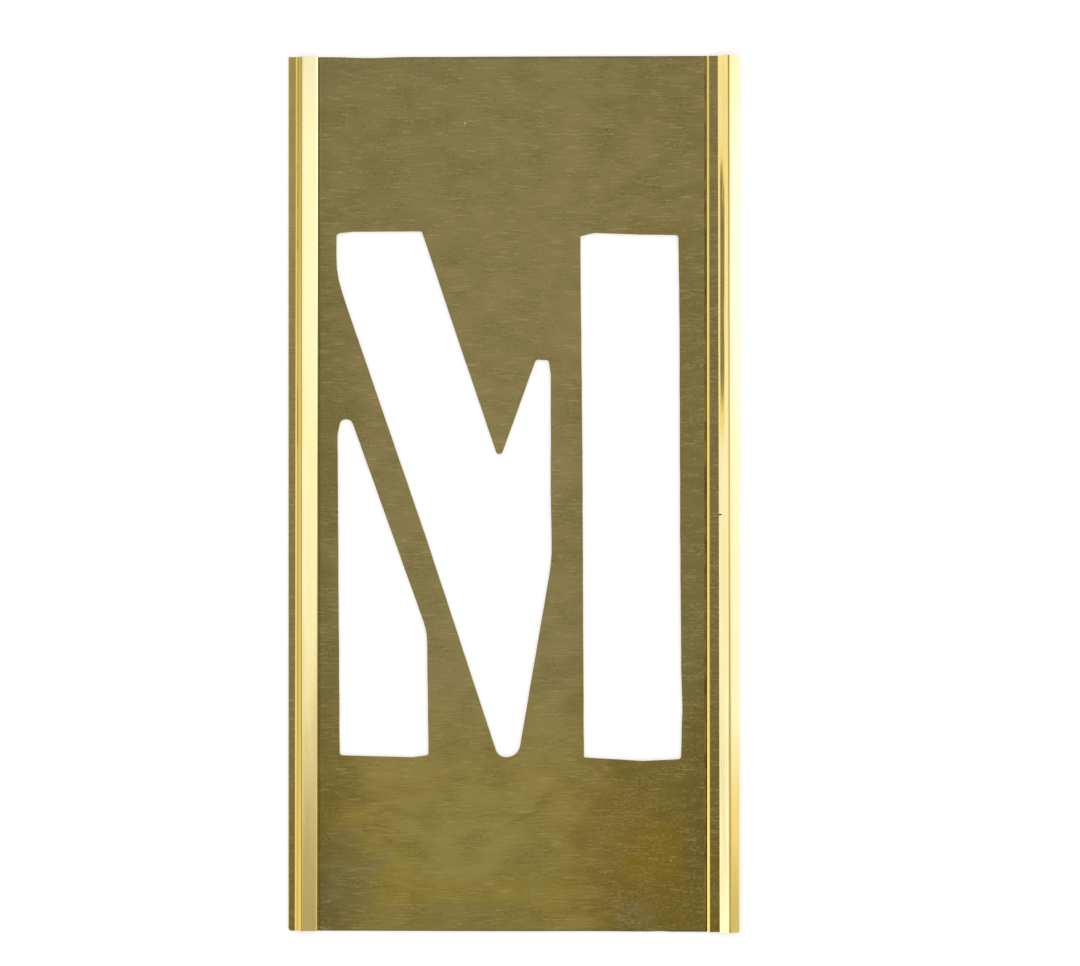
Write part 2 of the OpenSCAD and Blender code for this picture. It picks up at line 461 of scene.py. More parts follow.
@dataclass(frozen=True)
class RubbedSheenFinish:
    """The same sheet as a formed strip: flats keep the film, and flanks and bends are rubbed bright, with
    painted highlights and painted shade that change from facet to facet and from top to foot.
    """

    tarnish: Tarnish = Tarnish()
    # Wear from 0 to 0.5 bares gold brass, and from 0.5 to 1 the colour is painted pale as a highlight
    gold: str = "#eed176"
    pale_highlight: str = "#fbf0bb"
    half_worn: float = 0.5
    # Painted shade: a darker, deep gold laid over the stretches marked deep
    deep_gold_shade: str = "#c0a238"
    half_length: float = 63.5
    # A nick where the flank leaves the floor
    nick: Spot = Spot(29.93, -3.0, 0.36, 0.17, "#5c4c1c", 1.0, 0.2)
    stain: Stain = Stain(30.22, 0.5, 2.0, 53.0, 0.85)
    # Draw lines run along the strip, and are drawn a little coarser than real ones so that they show
    draw_lines: Marks = Marks((0.16, 60.0, 0.16), 2.0)
    smears: Marks = Marks((1.2, 14.0, 1.2), 3.0)
    # Smears between these values change the wear by this much
    smear_marks: Range = (0.3, 0.7)
    smear_wear: Range = (0.93, 1.04)
    bright_roughness: float = 0.17
    metallic: float = 1.0
    bump_mm: float = 0.003

    def surface(self, tree: Tree, place: Socket) -> Surface:
        """Lay the film on the flats and bright metal where the strip slides, with the painted highlights and
        painted shade of its facets.

        Args:
            tree: Material's tree.
            place: Coordinates in millimetres.

        Returns:
            Colour, roughness and height of the rubbed strip.
        """
        film = self.tarnish.pattern(tree, place)
        axes = add_node(tree, SPLIT, (place,))
        lines = self.draw_lines.draw(tree, place)
        smears = self.smears.draw(tree, place)
        worn_and_lit = self.wear_sheen(tree, axes, smears)
        bared = add_node(tree, RAMP, (worn_and_lit, 0.0, self.half_worn), **SMOOTH)[0]
        layers = (
            (bared, linear(self.gold)),
            (add_node(tree, RAMP, (worn_and_lit, self.half_worn, 1.0), **SMOOTH)[0], linear(self.pale_highlight)),
            (add_node(tree, CARRIED, attribute_name=Weight.DEEP.value)["Fac"], linear(self.deep_gold_shade)),
            (self.nick.cover(tree, axes, smears), linear(self.nick.colour)),
        )
        smoothed = {MIX_FACTOR: bared, NUMBER_A: film.roughness, NUMBER_B: self.bright_roughness}
        film_share = add_node(tree, MATH, (1.0, bared), operation="SUBTRACT")[0]
        height = add_node(tree, MATH, (film.height, film_share, lines), operation="MULTIPLY_ADD")[0]
        return Surface(layered(tree, film.colour, layers), add_node(tree, MIX, smoothed)[0], height)

    def wear_sheen(self, tree: Tree, axes: Sockets, smears: Socket) -> Socket:
        """Work out how far the metal is rubbed at a place, with its painted highlight and painted shade, from
        what its top, middle and foot are given.

        Args:
            tree: Material's tree.
            axes: Coordinates in millimetres.
            smears: Uneven rubbing, from 0 to 1.

        Returns:
            0 under full film, 0.5 on gold metal and 1 on a pale painted highlight.
        """
        along = add_node(tree, CARRIED, attribute_name=Weight.RUBBED_SHEEN_MIDDLE.value)["Fac"]
        for end, reach in ((Weight.RUBBED_SHEEN_TOP, self.half_length), (Weight.RUBBED_SHEEN_FOOT, -self.half_length)):
            at_end = add_node(tree, CARRIED, attribute_name=end.value)["Fac"]
            share = add_node(tree, RAMP, (axes["Y"], 0.0, reach), **SMOOTH)[0]
            along = add_node(tree, MIX, {MIX_FACTOR: share, NUMBER_A: along, NUMBER_B: at_end})[0]
        uneven = add_node(tree, RAMP, (smears, *self.smear_marks, *self.smear_wear), **SMOOTH)[0]
        for factor in (uneven, self.stain.left_bright(tree, axes, smears)):
            along = add_node(tree, MATH, (along, factor), operation="MULTIPLY")[0]
        return along


@dataclass(frozen=True)
class SolderFinish:
    """Soft solder, wiped and long since dulled: a dark brown-grey line."""

    fresh: str = "#85752f"
    dirty: str = "#5f4f16"
    # Wiping drew its grain out along the seam
    grain: Marks = Marks((0.7, 2.8, 0.7), 4.0)
    dirty_marks: Range = (0.35, 0.65)
    rough_marks: Range = (0.3, 0.7)
    roughness: Range = (0.45, 0.6)
    metallic: float = 0.8
    bump_mm: float = 0.02

    def surface(self, tree: Tree, place: Socket) -> Surface:
        """Mottle the solder from fresh to dirty.

        Args:
            tree: Material's tree.
            place: Coordinates in millimetres.

        Returns:
            Colour, roughness and height of the solder.
        """
        grain = self.grain.draw(tree, place)
        dirt = add_node(tree, RAMP, (grain, *self.dirty_marks), **SMOOTH)[0]
        colour = layered(tree, linear(self.fresh), [(dirt, linear(self.dirty))])
        rough = add_node(tree, RAMP, (grain, *self.rough_marks, *self.roughness), **SMOOTH)[0]
        return Surface(colour, rough, grain)


def metal_material(name: str, finish: SheetFinish | RubbedSheenFinish | SolderFinish) -> bpy.types.Material:
    """Make a metal material whose colour, roughness and bump come from a finish.

    Args:
        name: Name of the material.
        finish: Finish that draws the pattern.

    Returns:
        The material.
    """
    material = bpy.data.materials.new(name)
    material.use_nodes = True
    tree = material.node_tree
    tree.nodes.clear()
    place = add_node(tree, "ShaderNodeTexCoord")["Object"]
    place = add_node(tree, VECTOR, {0: place, "Scale": 1 / MM}, operation="SCALE")[0]
    surface = finish.surface(tree, place)
    relief = {"Strength": 1.0, "Distance": finish.bump_mm * MM, "Height": surface.height}
    shader = {
        "Base Color": surface.colour,
        "Metallic": finish.metallic,
        "Roughness": surface.roughness,
        "Normal": add_node(tree, "ShaderNodeBump", relief)["Normal"],
    }
    metal = add_node(tree, "ShaderNodeBsdfPrincipled", shader)["BSDF"]
    add_node(tree, "ShaderNodeOutputMaterial", {"Surface": metal})
    return material


def new_piece(name: str, mesh: bpy.types.Mesh, nodes: Sequence[str]) -> None:
    """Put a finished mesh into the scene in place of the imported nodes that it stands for.

    Args:
        name: Name of the piece.
        mesh: Its mesh, already in place.
        nodes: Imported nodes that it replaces.
    """
    mesh.name = name
    piece = bpy.data.objects.new(name, mesh)
    bpy.context.scene.collection.objects.link(piece)
    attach(piece, "root")
    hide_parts(*nodes)
    LOG.info("%s: %d faces, in place of %s", name, len(mesh.polygons), ", ".join(nodes))


def finish_shell(mesh: bpy.types.Mesh, crease_deg: float) -> None:
    """Turn a closed mesh's faces outwards and shade it smooth between its creases.

    Args:
        mesh: Mesh to finish.
        crease_deg: Edges sharper than this stay creases.
    """
    work = bmesh.new()
    work.from_mesh(mesh)
    bmesh.ops.recalc_face_normals(work, faces=work.faces)
    work.to_mesh(mesh)
    work.free()
    mesh.polygons.foreach_set("use_smooth", [True] * len(mesh.polygons))
    mesh.set_sharp_from_angle(angle=math.radians(crease_deg))


@dataclass(frozen=True)
class Dip:
    """A place where the shears left an end of the plate a little short, in millimetres."""

    at_top: bool
    x: float
    half_width: float
    depth: float


@dataclass
class LetteredPlate:
    """Flat plate with the openings of the letter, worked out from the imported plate."""

    finish: SheetFinish = SheetFinish()
    # Distance between points along the edges and inside the plate
    edge_step: float = 0.4
    inner_step: float = 1.3
    # Points inside stay this share of their distance clear of the edges
    inner_clearance: float = 0.5
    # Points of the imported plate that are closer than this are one
    weld: float = 0.001
    # And points of a filled face, where its whole outline is filled before the openings are cleared
    face_weld: float = 1e-6
    # Rolled-over rim of the front face, and the smaller rim behind
    front_rim: float = 0.06
    back_rim: float = 0.04
    rim_steps: int = 3
    # Flat margin that keeps the rim's shading off the plate's face
    rim_margin: float = 0.05
    # Keeps an inset point near its corner where the corner is sharp
    corner_limit: float = 0.35
    # Wander of the hand-cut edges, its length along them, and the share of it that the two ends have
    cut_wander: float = 0.03
    cut_wander_len: float = 3.5
    end_wander: float = 0.5
    # How bare the cut metal is, with painted light on top: edges that look to the right are painted brighter
    # as a highlight, and those that look to the foot duller as shade
    bare: float = 0.3
    right_edge_highlight: float = 0.7
    foot_edge_shade: float = -0.6
    # Waves of the thin sheet: height and length of the long and the short ones
    waves: tuple[Range, ...] = ((0.07, 30.0), (0.008, 6.0))
    # They are shorter across the width, and each reads its own layer of the noise
    wave_squeeze: float = 1.4
    wave_layer: float = 5.0
    # The laps behind the long edges hold the sheet flat, and its waves grow beside them
    held_flat: float = 1.8
    held_margin: float = 4.0
    crease_deg: float = 50.0
    dips: tuple[Dip, ...] = (
        Dip(True, -21.0, 3.6, 0.16),
        Dip(True, -10.0, 6.0, 0.03),
        Dip(False, 21.2, 0.9, 0.07),
        Dip(False, 12.0, 7.0, 0.04),
    )

    def __post_init__(self) -> None:
        """Read the plate's place and thickness from the frame."""
        low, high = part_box("stencil_plate")
        self.left, self.right = low.x / MM, high.x / MM
        self.foot, self.top = low.y / MM, high.y / MM
        self.back, self.front = low.z / MM, high.z / MM

    def outlines(self) -> list[Loop]:
        """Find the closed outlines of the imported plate's front face.

        Returns:
            Outlines in millimetres, with the plate on the left of the way along each.
        """
        work = bmesh.new()
        work.from_mesh(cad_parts["stencil_plate"].data)
        bmesh.ops.remove_doubles(work, verts=work.verts, dist=self.weld * MM)
        front = {f for f in work.faces if round(f.normal.z) == 1}
        step_to: dict[int, int] = {}
        for face in front:
            for corner in face.loops:
                if not any(other in front for other in corner.edge.link_faces if other is not face):
                    step_to[corner.vert.index] = corner.link_loop_next.vert.index
        work.verts.ensure_lookup_table()
        loops: list[Loop] = []
        while step_to:
            at, loop = min(step_to), []
            while at in step_to:
                loop.append((work.verts[at].co.x / MM, work.verts[at].co.y / MM))
                at = step_to.pop(at)
            loops.append(loop)
        work.free()
        return loops

    def stepped(self, loop: Loop) -> Loop:
        """Split an outline's long sides into even steps.

        Args:
            loop: Corners of an outline.

        Returns:
            Its corners and the points between them.
        """
        points: Loop = []
        for (ax, ay), (bx, by) in zip(loop, loop[1:] + loop[:1]):
            steps = max(1, math.ceil(math.dist((ax, ay), (bx, by)) / self.edge_step))
            points += [(ax + (bx - ax) * i / steps, ay + (by - ay) * i / steps) for i in range(steps)]
        return points

    def way_past(self, loop: Loop, i: int) -> tuple[float, float]:
        """Give the way along an outline past one of its points.

        Args:
            loop: Points of an outline.
            i: Number of the point.

        Returns:
            A step of length one.
        """
        ax, ay = loop[i - 1]
        bx, by = loop[(i + 1) % len(loop)]
        length = math.dist((ax, ay), (bx, by))
        return (bx - ax) / length, (by - ay) / length

    def end_shortfall(self, x: float, at_top: bool) -> float:
        """Tell how far an end of the plate falls short of a straight cut at x."""
        dips = (d for d in self.dips if d.at_top is at_top)
        return sum(d.depth * math.exp(-(((x - d.x) / d.half_width) ** 2)) for d in dips)

    def cut_by_hand(self, loop: Loop) -> Loop:
        """Let an outline wander as hand shears and files do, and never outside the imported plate's ends.

        Args:
            loop: Even steps along an outline.

        Returns:
            The moved points.
        """
        moved: Loop = []
        outer = min(x for x, _ in loop) < self.left + self.edge_step
        for i, (x, y) in enumerate(loop):
            wander = noise.noise(Vector((x, y, 0.0)) / self.cut_wander_len) * self.cut_wander
            if outer:
                short = self.end_shortfall(x, y > 0)
                if min(x - self.left, self.right - x) >= self.weld:
                    short += abs(wander) * self.end_wander
                elif abs(y) < self.top - self.edge_step:
                    short = 0.0
                moved.append((x, y - math.copysign(short, y)))
            else:
                # The plate lies to the left of the way along
                way_x, way_y = self.way_past(loop, i)
                moved.append((x - way_y * wander, y + way_x * wander))
        return moved

    def bareness_and_highlight(self, loop: Loop, i: int) -> float:
        """Tell how bare an edge is at point i of its outline, with a painted highlight where it looks to the
        right and painted shade where it looks to the foot.
        """
        way_x, way_y = self.way_past(loop, i)
        return min(1.0, max(0.0, self.bare + self.right_edge_highlight * way_y + self.foot_edge_shade * max(0.0, -way_x)))

    def inset(self, loop: Loop, depth: float) -> Loop:
        """Move an outline into the plate.

        Args:
            loop: Points of the outline.
            depth: How far it moves, in millimetres.

        Returns:
            The moved points.
        """
        ways = []
        for a, b in zip(loop, loop[1:] + loop[:1]):
            length = math.dist(a, b)
            ways.append((-(b[1] - a[1]) / length, (b[0] - a[0]) / length))
        moved: Loop = []
        for i, (x, y) in enumerate(loop):
            (px, py), (qx, qy) = ways[i - 1], ways[i]
            stretch = depth / max(self.corner_limit, (1 + px * qx + py * qy) / 2) / 2
            moved.append((x + (px + qx) * stretch, y + (py + qy) * stretch))
        return moved

    def wave(self, x: float, y: float) -> float:
        """Tell how far the sheet stands off flat at a place.

        Args:
            x: Place across the width.
            y: Place along the plate.

        Returns:
            Height in millimetres.
        """
        clear = min(x - self.left, self.right - x) - self.held_flat
        free = min(1.0, max(0.0, clear / self.held_margin))
        return free * free * (3 - 2 * free) * sum(
            height * noise.noise(Vector((x * self.wave_squeeze, y, self.wave_layer * k)) / length)
            for k, (height, length) in enumerate(self.waves)
        )

    def inner_points(self, rings: list[Loop]) -> Loop:
        """Lay a lattice inside the plate, clear of its edges.

        Args:
            rings: Innermost ring of each outline.

        Returns:
            The lattice's points.
        """
        edges = np.array([p for ring in rings for p in ring])
        clear = self.inner_clearance * self.inner_step
        points: Loop = []
        for row in range(1, int((self.top - self.foot) / self.inner_step)):
            for column in range(1, int((self.right - self.left) / self.inner_step)):
                x = self.left + (column + 0.5 * (row % 2)) * self.inner_step
                y = self.foot + row * self.inner_step
                if np.min((edges[:, 0] - x) ** 2 + (edges[:, 1] - y) ** 2) > clear**2:
                    points.append((x, y))
        return points

    def inside(self, places: np.ndarray, rings: list[Loop]) -> np.ndarray:
        """Tell which places lie on the plate, by counting the outlines crossed to the right of each.

        Args:
            places: Rows of X and Y.
            rings: Innermost ring of each outline.

        Returns:
            For each place, whether it lies on the plate.
        """
        crossed = np.zeros(len(places), int)
        for ring in rings:
            for (ax, ay), (bx, by) in zip(ring, ring[1:] + ring[:1]):
                spans = (ay > places[:, 1]) != (by > places[:, 1])
                if ay != by:
                    crossed += spans & (places[:, 0] < ax + (places[:, 1] - ay) * (bx - ax) / (by - ay))
        return crossed % 2 == 1

    def face_triangles(self, rings: list[Loop]) -> tuple[Loop, list[tuple[int, int, int]]]:
        """Fill the plate's face between its innermost rings.

        Args:
            rings: Innermost ring of each outline.

        Returns:
            Points, rings first, and triangles that face the front.
        """
        points = [p for ring in rings for p in ring]
        edges: list[tuple[int, int]] = []
        start = 0
        for ring in rings:
            edges += [(start + i, start + (i + 1) % len(ring)) for i in range(len(ring))]
            start += len(ring)
        points += self.inner_points(rings)
        filled = delaunay_2d_cdt([Vector(p) for p in points], edges, [], 0, self.face_weld)
        _, _, corners, sources, _, _ = filled
        triangles = np.array([[sources[i][0] for i in c] for c in corners])
        kept = triangles[self.inside(np.array(points)[triangles].mean(axis=1), rings)]
        return points, [tuple(int(i) for i in t) for t in kept]

    def rim_profile(self) -> list[Range]:
        """Work out the rings around an edge, from the front face to the back.

        Returns:
            Depth into the plate and height of each ring.
        """
        turns = [math.radians(90 * i / self.rim_steps) for i in range(self.rim_steps + 1)]
        over, under = self.front_rim, self.back_rim
        return [
            (over + self.rim_margin, self.front),
            *((over * (1 - math.sin(t)), self.front - over * (1 - math.cos(t))) for t in turns),
            *((under * (1 - math.cos(t)), self.back + under * (1 - math.sin(t))) for t in turns),
            (under + self.rim_margin, self.back),
        ]

    def mesh(self) -> bpy.types.Mesh:
        """Build the plate: rims around every outline, and a waved face in front and behind.

        Returns:
            The plate's mesh in place.
        """
        rows = self.rim_profile()
        verts: list[tuple[float, float, float]] = []
        cut: list[float] = []
        faces: list[tuple[int, ...]] = []
        rims: list[list[list[int]]] = []
        for outline in self.outlines():
            loop = self.cut_by_hand(self.stepped(outline))
            rim = []
            for number, (depth, z) in enumerate(rows):
                rim.append(list(range(len(verts), len(verts) + len(loop))))
                verts += [(x, y, z + self.wave(x, y)) for x, y in self.inset(loop, depth)]
                on_edge = depth < self.front_rim / 2 and 1 < number < len(rows) - 2
                cut += [self.bareness_and_highlight(loop, i) * on_edge for i in range(len(loop))]
            for upper, lower in zip(rim, rim[1:]):
                for i in range(len(loop)):
                    j = (i + 1) % len(loop)
                    faces.append((upper[i], lower[i], lower[j], upper[j]))
            rims.append(rim)
        for row, z, way in ((0, self.front, 1), (-1, self.back, -1)):
            points, triangles = self.face_triangles([[verts[i][:2] for i in rim[row]] for rim in rims])
            ids = [i for rim in rims for i in rim[row]]
            for x, y in points[len(ids) :]:
                ids.append(len(verts))
                verts.append((x, y, z + self.wave(x, y)))
                cut.append(0.0)
            faces += [tuple(ids[i] for i in t)[::way] for t in triangles]
        mesh = bpy.data.meshes.new("stencil_plate_sheet")
        mesh.from_pydata([tuple(c * MM for c in v) for v in verts], [], faces)
        mesh.attributes.new("cut_edge_and_highlight", "FLOAT", "POINT").data.foreach_set("value", cut)
        finish_shell(mesh, self.crease_deg)
        mesh.materials.append(metal_material("rolled_brass_sheet", self.finish))
        return mesh

    def build(self) -> None:
        """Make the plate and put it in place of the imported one."""
        new_piece("stencil_plate_sheet", self.mesh(), ["stencil_plate"])


@dataclass(frozen=True)
class WearAndSheen:
    """How far a stretch is rubbed at its top, middle and foot, with painted light: 0 is full film, 0.5 is
    gold and 1 is a pale painted highlight.
    """

    top: float = 0.0
    middle: float = 0.0
    foot: float = 0.0

    def towards(self, other: "WearAndSheen", share: float) -> "WearAndSheen":
        """Mix with the wear of the next stretch by a share from 0 to 1."""
        return WearAndSheen(*(a + (b - a) * share for a, b in zip(astuple(self), astuple(other))))

    def without(self, dull: "WearAndSheen", share: float) -> "WearAndSheen":
        """Take a share of a bend's painted shade off, or add a painted highlight where it is below 0."""
        return WearAndSheen(*(max(0.0, a - b * share) for a, b in zip(astuple(self), astuple(dull))))


@dataclass(frozen=True)
class Corner:
    """A corner of a strip's middle line, in millimetres.

    Attributes:
        x: Place across the width.
        z: Height.
        radius: Bend radius at the middle of the sheet.
        wear_sheen: How far the stretch after this corner is rubbed, with its painted highlight and painted
            shade.
        give: How much the strip wanders at this corner, from 0 to 1.
        dull: Painted shade on this bend, drawn as less rubbing than the stretches beside it; below 0 it is a
            painted highlight.
        deep: How far the stretch after this corner is painted a deep gold as shade, from 0 to 1.
        lean: How far this corner stands further right at the foot than at the top.
    """

    x: float
    z: float
    radius: float
    wear_sheen: WearAndSheen = WearAndSheen()
    give: float = 0.0
    dull: WearAndSheen = WearAndSheen()
    deep: float = 0.0
    lean: float = 0.0


@dataclass(frozen=True)
class OutlinePoint:
    """A point of a strip's outline with the values that it carries. Its station is the way walked there."""

    x: float
    z: float
    wear_sheen: WearAndSheen = WearAndSheen()
    give: float = 0.0
    station: float = 0.0
    deep: float = 0.0
    lean: float = 0.0


def end_trims(tree: Tree, given: Sockets, along: Socket, half: Socket, carried: Carried) -> Socket:
    """Shorten the sweep near its two ends to the line of the shears.

    Args:
        tree: Sweep's tree.
        given: The tree's named inputs.
        along: Each point's place along the sweep.
        half: Half the sweep's length.
        carried: Values that the points carry.

    Returns:
        How far each point moves along the sweep.
    """
    inner = add_node(tree, MATH, (half, given["End Length"]), operation="SUBTRACT")[0]
    trims = []
    for weight, sign in ((Weight.TRIM_TOP, 1.0), (Weight.TRIM_FOOT, -1.0)):
        reach = add_node(tree, MATH, (along, sign), operation="MULTIPLY")[0]
        near_end = add_node(tree, RAMP, (reach, inner, half))[0]
        cut = add_node(tree, MATH, (near_end, carried[weight]), operation="MULTIPLY")[0]
        trims.append(add_node(tree, MATH, (cut, -sign), operation="MULTIPLY")[0])
    return add_node(tree, MATH, trims, operation="ADD")[0]


def wander(tree: Tree, given: Sockets, along: Socket, carried: Carried) -> dict[str, Socket]:
    """Let the sweep wander across the width and in height.

    Args:
        tree: Sweep's tree.
        given: The tree's named inputs.
        along: Each point's place along the sweep.
        carried: Values that the points carry.

    Returns:
        How far each point moves along X and along Z.
    """
    turn = add_node(tree, MATH, (along, given["Wander Length"]), operation="DIVIDE")[0]
    moves = {}
    for axis, shift in (("X", 0.0), ("Z", WANDER_SHIFT)):
        seed = add_node(tree, MATH, (given["Seed"], shift), operation="ADD")[0]
        where = add_node(tree, JOIN, (turn, carried[Weight.STATION], seed))[0]
        wavy = add_node(tree, NOISE, {"Vector": where, "Scale": 1.0, "Detail": WANDER_DETAIL})["Fac"]
        for factor in (given[f"Wander {axis}"], carried[Weight.GIVE]):
            wavy = add_node(tree, MATH, (wavy, factor), operation="MULTIPLY")[0]
        moves[axis] = wavy
    return moves


def sweep_tree() -> Tree:
    """Make the node tree that sweeps an outline along the plate and lets it wander.

    Returns:
        A geometry tree with named inputs for its sizes, its seed and its material.
    """
    tree = bpy.data.node_groups.new("formed_strip", "GeometryNodeTree")
    face = tree.interface
    face.new_socket("Geometry", in_out="INPUT", socket_type="NodeSocketGeometry")
    for name in ("Length", "Step", "Wander X", "Wander Z", "Wander Length", "Seed", "End Length"):
        face.new_socket(name, in_out="INPUT", socket_type="NodeSocketFloat")
    face.new_socket("Material", in_out="INPUT", socket_type="NodeSocketMaterial")
    face.new_socket("Geometry", in_out="OUTPUT", socket_type="NodeSocketGeometry")
    given = add_node(tree, "NodeGroupInput")
    half = add_node(tree, MATH, (given["Length"], 0.5), operation="MULTIPLY")[0]
    back = add_node(tree, MATH, (half, -1.0), operation="MULTIPLY")[0]
    line_ends = {"Start": add_node(tree, JOIN, {"Y": back})[0], "End": add_node(tree, JOIN, {"Y": half})[0]}
    line = add_node(tree, "GeometryNodeCurvePrimitiveLine", line_ends)[0]
    spaced = {"Curve": line, "Length": given["Step"]}
    path = add_node(tree, "GeometryNodeResampleCurve", spaced, mode="LENGTH")[0]
    outline = add_node(tree, "GeometryNodeMeshToCurve", {"Mesh": given["Geometry"]})[0]
    sweep = {"Curve": path, "Profile Curve": outline, "Fill Caps": True}
    strip = add_node(tree, "GeometryNodeCurveToMesh", sweep)[0]
    weights = (Weight.GIVE, Weight.STATION, Weight.LEAN, Weight.TRIM_TOP, Weight.TRIM_FOOT)
    kind = "GeometryNodeInputNamedAttribute"
    carried = {w: add_node(tree, kind, {"Name": w.value}, data_type="FLOAT")["Attribute"] for w in weights}
    along = add_node(tree, SPLIT, (add_node(tree, "GeometryNodeInputPosition")[0],))["Y"]
    moves = wander(tree, given, along, carried)
    share = add_node(tree, MATH, (along, given["Length"]), operation="DIVIDE")[0]
    leaning = add_node(tree, MATH, (share, carried[Weight.LEAN]), operation="MULTIPLY")[0]
    sideways = add_node(tree, MATH, (moves["X"], leaning), operation="SUBTRACT")[0]
    shorter = end_trims(tree, given, along, half, carried)
    offset = add_node(tree, JOIN, (sideways, shorter, moves["Z"]))[0]
    moved = add_node(tree, "GeometryNodeSetPosition", {"Geometry": strip, "Offset": offset})[0]
    real = add_node(tree, "GeometryNodeRealizeInstances", {"Geometry": moved})[0]
    dressed = add_node(tree, "GeometryNodeSetMaterial", {"Geometry": real, "Material": given["Material"]})[0]
    add_node(tree, "NodeGroupOutput", {"Geometry": dressed})
    return tree


@dataclass
class Ends:
    """The straight cut at both ends of the stencil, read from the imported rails."""

    # The foot of the left rail is dubbed off by this much so that it starts easily in its neighbour
    dubbed_corner: float = 0.45

    def __post_init__(self) -> None:
        """Read where the two outer edges end."""
        nose_low, nose_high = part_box("left_rail_nose")
        _, wall_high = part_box("right_rail_outer_wall")
        self.left = nose_low.x / MM
        self.right = wall_high.x / MM
        self.left_reach = nose_high.y / MM
        self.right_reach = wall_high.y / MM

    def reach(self, x: float) -> float:
        """Tell how far the stencil reaches along Y at a place across its width."""
        share = min(1.0, max(0.0, (x - self.left) / (self.right - self.left)))
        return self.left_reach + (self.right_reach - self.left_reach) * share

    def corner_cut(self, x: float) -> float:
        """Tell how much the dubbed corner takes off the foot at a place across the width."""
        depth = min(self.dubbed_corner, max(0.0, self.dubbed_corner - (x - self.left)))
        return self.dubbed_corner - math.sqrt(self.dubbed_corner**2 - depth**2)


@dataclass(frozen=True)
class Sweep:
    """Sizes of a sweep along the plate, in millimetres, and its seed."""

    length: float
    step: float
    wander_x: float
    wander_z: float
    wander_length: float
    seed: float
    end_length: float = 5.0
    crease_deg: float = 40.0
    # Places along the outline wander nearly alike, so that flats stay flat
    station_share: float = 0.25

    def outline_mesh(self, outline: Sequence[OutlinePoint], ends: Ends) -> bpy.types.Mesh:
        """Lay out an outline as edges that carry their values.

        Args:
            outline: Closed outline in X and Z.
            ends: Line that both ends of the strips were sheared to.

        Returns:
            A mesh of edges, flat on the ground.
        """
        # A sweep along +Y turns an outline's own Y to -Z
        flat = bpy.data.meshes.new("outline")
        edges = [(i, (i + 1) % len(outline)) for i in range(len(outline))]
        flat.from_pydata([(p.x * MM, -p.z * MM, 0.0) for p in outline], edges, [])
        trims = [self.length / 2 - ends.reach(p.x) for p in outline]
        values = {
            Weight.RUBBED_SHEEN_TOP: [p.wear_sheen.top for p in outline],
            Weight.RUBBED_SHEEN_MIDDLE: [p.wear_sheen.middle for p in outline],
            Weight.RUBBED_SHEEN_FOOT: [p.wear_sheen.foot for p in outline],
            Weight.DEEP: [p.deep for p in outline],
            Weight.GIVE: [p.give for p in outline],
            Weight.STATION: [p.station * self.station_share for p in outline],
            Weight.LEAN: [p.lean * MM for p in outline],
            Weight.TRIM_TOP: [t * MM for t in trims],
            Weight.TRIM_FOOT: [(t + ends.corner_cut(p.x)) * MM for t, p in zip(trims, outline)],
        }
        for weight, numbers in values.items():
            flat.attributes.new(weight.value, "FLOAT", "POINT").data.foreach_set("value", numbers)
        return flat

    def run(
        self, outline: Sequence[OutlinePoint], ends: Ends, material: bpy.types.Material
    ) -> bpy.types.Mesh:
        """Sweep an outline along the plate.

        Args:
            outline: Closed outline in X and Z.
            ends: Line that both ends of the strips were sheared to.
            material: Its finish.

        Returns:
            A plain mesh in place.
        """
        holder = bpy.data.objects.new("outline", self.outline_mesh(outline, ends))
        bpy.context.scene.collection.objects.link(holder)
        modifier = holder.modifiers.new("sweep", "NODES")
        modifier.node_group = sweep_tree()
        settings = {
            "Length": self.length * MM,
            "Step": self.step * MM,
            "Wander X": self.wander_x * MM,
            "Wander Z": self.wander_z * MM,
            "Wander Length": self.wander_length * MM,
            "Seed": self.seed,
            "End Length": self.end_length * MM,
            "Material": material,
        }
        for item in modifier.node_group.interface.items_tree:
            if item.in_out == "INPUT" and item.name in settings:
                modifier[item.identifier] = settings[item.name]
        mesh = bpy.data.meshes.new_from_object(holder.evaluated_get(bpy.context.evaluated_depsgraph_get()))
        bpy.data.objects.remove(holder)
        finish_shell(mesh, self.crease_deg)
        return mesh


